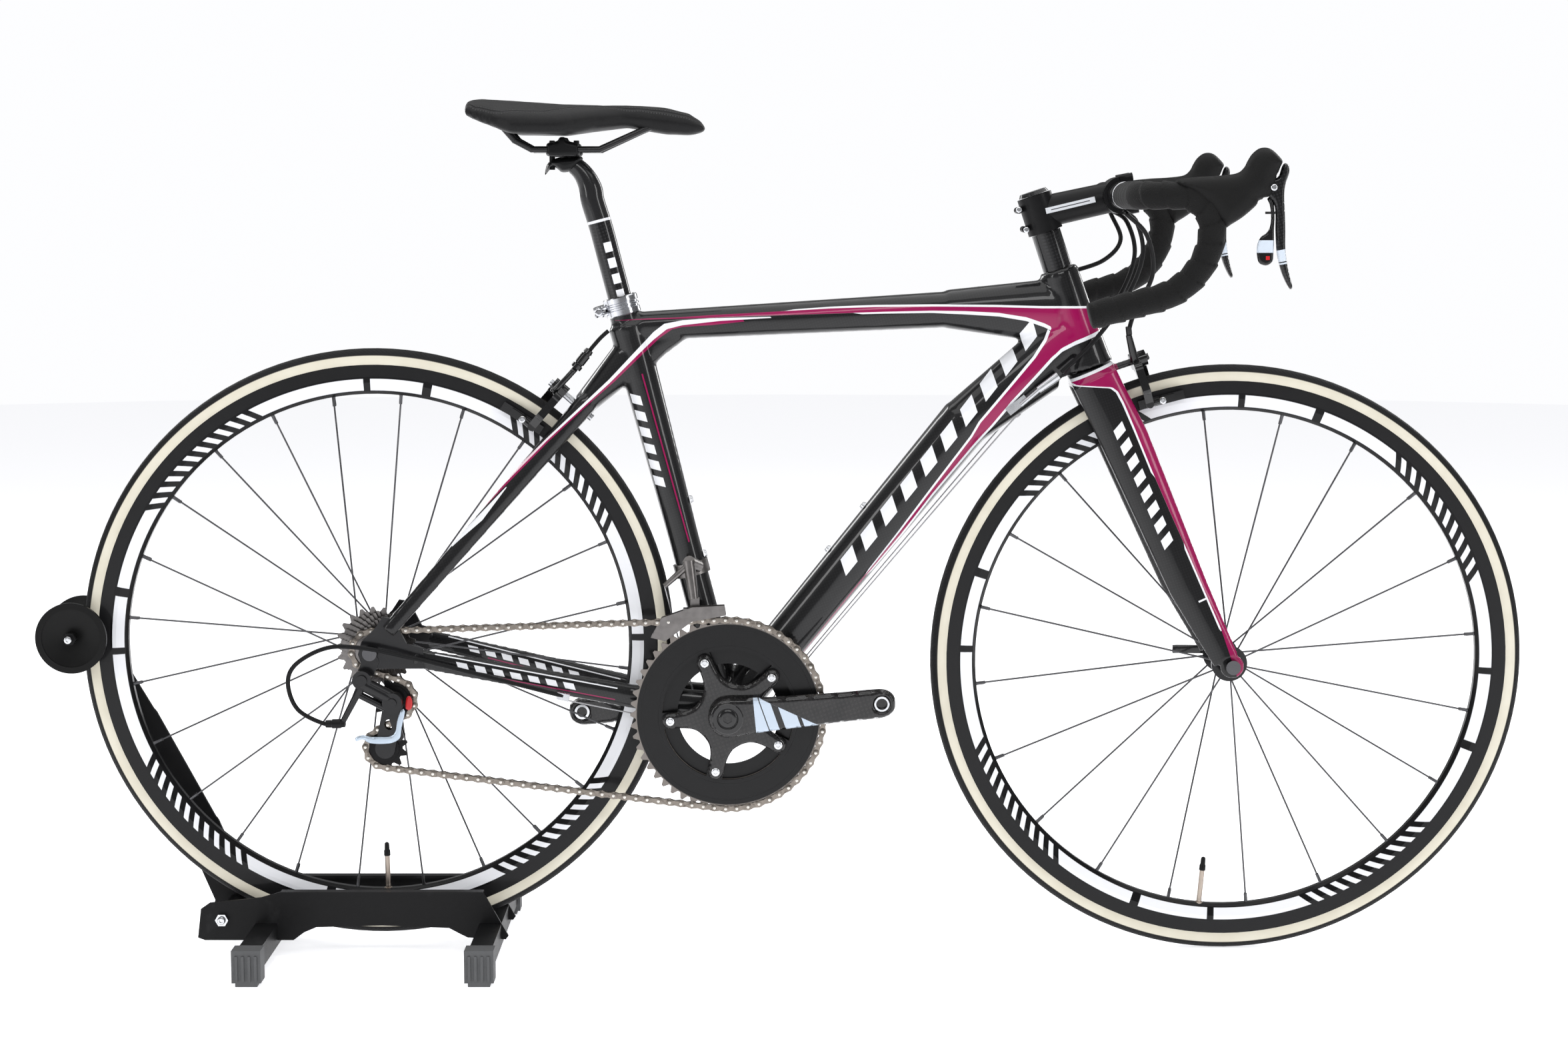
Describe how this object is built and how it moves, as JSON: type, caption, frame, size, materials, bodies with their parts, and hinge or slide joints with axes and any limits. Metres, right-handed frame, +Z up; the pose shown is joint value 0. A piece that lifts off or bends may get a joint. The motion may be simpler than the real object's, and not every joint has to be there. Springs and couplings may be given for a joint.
{
  "type": "bicycle on stand",
  "caption": "Road racing bicycle with drop handlebar and rim brakes, its rear wheel held in a floor stand with a roller arm behind the tyre.",
  "frame": {"origin": "centre of the footprint on the floor, under the middle of the bounding box", "axes": "+X the way the bicycle travels, +Y the rider's left, +Z up; the chain side faces -Y"},
  "size_m": [1.6734, 0.434, 0.9629],
  "materials": {
    "stand_plates": "satin",
    "stand_legs": "satin",
    "stand_feet": "matt",
    "stand_bolts": "polished",
    "stand_arm": "satin",
    "stand_roller": "satin",
    "head_tube": "gloss",
    "top_tube": "gloss",
    "down_tube": "gloss",
    "seat_tube": "gloss",
    "bottom_bracket": "gloss",
    "chain_stays": "gloss",
    "seat_stays": "gloss",
    "dropouts": "satin",
    "seat_clamp": "satin",
    "frame_fittings": "satin",
    "front_derailleur": "satin",
    "rear_derailleur": "gloss",
    "derailleur_cage": "satin",
    "guide_pulley": "matt",
    "tension_pulley": "matt",
    "chain": "satin",
    "frame_cables": "satin",
    "seatpost": "gloss",
    "saddle_clamp": "satin",
    "saddle_rails": "satin",
    "saddle": "matt",
    "fork": "gloss",
    "headset_spacers": "gloss",
    "stem": "satin",
    "stem_faceplate": "satin",
    "handlebar": "satin",
    "bar_tape": "matt",
    "hood_right": "matt",
    "hood_left": "matt",
    "brake_lever_right": "gloss",
    "brake_lever_left": "gloss",
    "shift_paddle_right": "gloss",
    "shift_paddle_left": "gloss",
    "steering_cables": "satin",
    "front_caliper_right": "satin",
    "front_caliper_left": "satin",
    "rear_caliper_right": "satin",
    "rear_caliper_left": "satin",
    "tyre_front": "matt",
    "rim_front": "satin",
    "spokes_front": "satin",
    "hub_front": "satin",
    "axle_front": "satin",
    "qr_lever_front": "satin",
    "tyre_rear": "matt",
    "rim_rear": "satin",
    "spokes_rear": "satin",
    "hub_rear": "satin",
    "axle_rear": "satin",
    "qr_lever_rear": "satin",
    "cassette": "satin",
    "crank_right": "gloss",
    "chainrings": "satin",
    "crank_left": "gloss"
  },
  "bodies": {
    "stand": {"stand_plates": "stand_plates", "stand_legs": "stand_legs", "stand_feet": "stand_feet", "stand_bolts": "stand_bolts"},
    "stand_arm": {"stand_arm": "stand_arm"},
    "stand_roller": {"stand_roller": "stand_roller"},
    "bike_frame": {"head_tube": "head_tube", "top_tube": "top_tube", "down_tube": "down_tube", "seat_tube": "seat_tube", "bottom_bracket": "bottom_bracket", "chain_stays": "chain_stays", "seat_stays": "seat_stays", "dropouts": "dropouts", "seat_clamp": "seat_clamp", "frame_fittings": "frame_fittings", "front_derailleur": "front_derailleur", "rear_derailleur": "rear_derailleur", "derailleur_cage": "derailleur_cage", "chain": "chain", "frame_cables": "frame_cables", "axle_rear": "axle_rear"},
    "guide_pulley": {"guide_pulley": "guide_pulley"},
    "tension_pulley": {"tension_pulley": "tension_pulley"},
    "seat": {"seatpost": "seatpost", "saddle_clamp": "saddle_clamp", "saddle_rails": "saddle_rails", "saddle": "saddle"},
    "steering": {"fork": "fork", "headset_spacers": "headset_spacers", "stem": "stem", "stem_faceplate": "stem_faceplate", "handlebar": "handlebar", "bar_tape": "bar_tape", "hood_right": "hood_right", "hood_left": "hood_left", "steering_cables": "steering_cables", "axle_front": "axle_front"},
    "brake_lever_right": {"brake_lever_right": "brake_lever_right"},
    "brake_lever_left": {"brake_lever_left": "brake_lever_left"},
    "shift_paddle_right": {"shift_paddle_right": "shift_paddle_right"},
    "shift_paddle_left": {"shift_paddle_left": "shift_paddle_left"},
    "front_caliper_right": {"front_caliper_right": "front_caliper_right"},
    "front_caliper_left": {"front_caliper_left": "front_caliper_left"},
    "rear_caliper_right": {"rear_caliper_right": "rear_caliper_right"},
    "rear_caliper_left": {"rear_caliper_left": "rear_caliper_left"},
    "front_wheel": {"tyre_front": "tyre_front", "rim_front": "rim_front", "spokes_front": "spokes_front", "hub_front": "hub_front"},
    "rear_wheel": {"tyre_rear": "tyre_rear", "rim_rear": "rim_rear", "spokes_rear": "spokes_rear", "hub_rear": "hub_rear"},
    "cassette": {"cassette": "cassette"},
    "crankset": {"crank_right": "crank_right", "chainrings": "chainrings", "crank_left": "crank_left"},
    "qr_lever_front": {"qr_lever_front": "qr_lever_front"},
    "qr_lever_rear": {"qr_lever_rear": "qr_lever_rear"}
  },
  "joints": [
    {"name": "stand_arm_tilt", "type": "hinge", "parent": "stand", "child": "stand_arm", "pos_m": [-0.63125, 0, 0.043], "axis": [0, -1, 0], "range_deg": [0, 35]},
    {"name": "stand_roller_spin", "type": "hinge", "parent": "stand_arm", "child": "stand_roller", "pos_m": [-0.79675, 0, 0.362], "axis": [0, 1, 0], "continuous": true},
    {"name": "bike_lift", "type": "slide", "parent": "stand", "child": "bike_frame", "axis": [0, 0, 1], "range_m": [0, 0.35]},
    {"name": "rear_wheel_spin", "type": "hinge", "parent": "bike_frame", "child": "rear_wheel", "pos_m": [-0.45525, 0, 0.352], "axis": [0, 1, 0], "continuous": true},
    {"name": "crank_spin", "type": "hinge", "parent": "bike_frame", "child": "crankset", "pos_m": [-0.05925, 0, 0.278], "axis": [0, 1, 0], "continuous": true},
    {"name": "cassette_spin", "type": "hinge", "parent": "bike_frame", "child": "cassette", "pos_m": [-0.45525, 0, 0.352], "axis": [0, 1, 0], "continuous": true},
    {"name": "guide_pulley_spin", "type": "hinge", "parent": "bike_frame", "child": "guide_pulley", "pos_m": [-0.43025, -0.06, 0.298], "axis": [0, 1, 0], "continuous": true},
    {"name": "tension_pulley_spin", "type": "hinge", "parent": "bike_frame", "child": "tension_pulley", "pos_m": [-0.44125, -0.06, 0.243], "axis": [0, 1, 0], "continuous": true},
    {"name": "seatpost_height", "type": "slide", "parent": "bike_frame", "child": "seat", "axis": [-0.2521, 0, 0.9677], "range_m": [-0.08, 0.08]},
    {"name": "steering_turn", "type": "hinge", "parent": "bike_frame", "child": "steering", "pos_m": [0.34555, 0, 0.664], "axis": [-0.3173, 0, 0.9483], "range_deg": [-45, 45], "deforming": ["steering_cables"]},
    {"name": "front_wheel_spin", "type": "hinge", "parent": "steering", "child": "front_wheel", "pos_m": [0.50275, 0, 0.334], "axis": [0, 1, 0], "continuous": true},
    {"name": "brake_lever_right_pull", "type": "hinge", "parent": "steering", "child": "brake_lever_right", "pos_m": [0.51235, -0.2, 0.8644], "axis": [0, 1, 0], "range_deg": [0, 16], "stiffness_Nm_per_rad": 0.9, "springref_deg": -8.59},
    {"name": "shift_paddle_right_push", "type": "hinge", "parent": "brake_lever_right", "child": "shift_paddle_right", "pos_m": [0.50175, -0.2, 0.838], "axis": [1, 0, 0], "range_deg": [0, 16], "stiffness_Nm_per_rad": 0.25, "springref_deg": -6.88},
    {"name": "brake_lever_left_pull", "type": "hinge", "parent": "steering", "child": "brake_lever_left", "pos_m": [0.51235, 0.2, 0.8644], "axis": [0, 1, 0], "range_deg": [0, 16], "stiffness_Nm_per_rad": 0.9, "springref_deg": -8.59},
    {"name": "shift_paddle_left_push", "type": "hinge", "parent": "brake_lever_left", "child": "shift_paddle_left", "pos_m": [0.50175, 0.2, 0.838], "axis": [-1, 0, 0], "range_deg": [0, 16], "stiffness_Nm_per_rad": 0.25, "springref_deg": -6.88},
    {"name": "front_caliper_right_close", "type": "hinge", "parent": "steering", "child": "front_caliper_right", "pos_m": [0.37575, 0, 0.665], "axis": [0.9483, 0, 0.3173], "range_deg": [0, 1.9]},
    {"name": "front_caliper_left_close", "type": "hinge", "parent": "steering", "child": "front_caliper_left", "pos_m": [0.37575, 0, 0.665], "axis": [-0.9483, 0, -0.3173], "range_deg": [0, 1.9]},
    {"name": "rear_caliper_right_close", "type": "hinge", "parent": "bike_frame", "child": "rear_caliper_right", "pos_m": [-0.23025, 0, 0.623], "axis": [0.7513, 0, -0.66], "range_deg": [0, 1.9]},
    {"name": "rear_caliper_left_close", "type": "hinge", "parent": "bike_frame", "child": "rear_caliper_left", "pos_m": [-0.23025, 0, 0.623], "axis": [-0.7513, 0, 0.66], "range_deg": [0, 1.9]},
    {"name": "qr_lever_front_open", "type": "hinge", "parent": "steering", "child": "qr_lever_front", "pos_m": [0.50275, 0.067, 0.334], "axis": [0, 0, -1], "range_deg": [0, 175]},
    {"name": "qr_lever_rear_open", "type": "hinge", "parent": "bike_frame", "child": "qr_lever_rear", "pos_m": [-0.45525, 0.081, 0.352], "axis": [0, 0, -1], "range_deg": [0, 175]}
  ],
  "couplings": [
    {"joint": "cassette_spin", "follows": "crank_spin", "ratio": 4.8182},
    {"joint": "guide_pulley_spin", "follows": "crank_spin", "ratio": -4.8182},
    {"joint": "tension_pulley_spin", "follows": "crank_spin", "ratio": 4.8182},
    {"joint": "front_caliper_right_close", "follows": "brake_lever_left_pull", "ratio": 0.11875},
    {"joint": "front_caliper_left_close", "follows": "brake_lever_left_pull", "ratio": 0.11875},
    {"joint": "rear_caliper_right_close", "follows": "brake_lever_right_pull", "ratio": 0.11875},
    {"joint": "rear_caliper_left_close", "follows": "brake_lever_right_pull", "ratio": 0.11875}
  ]
}
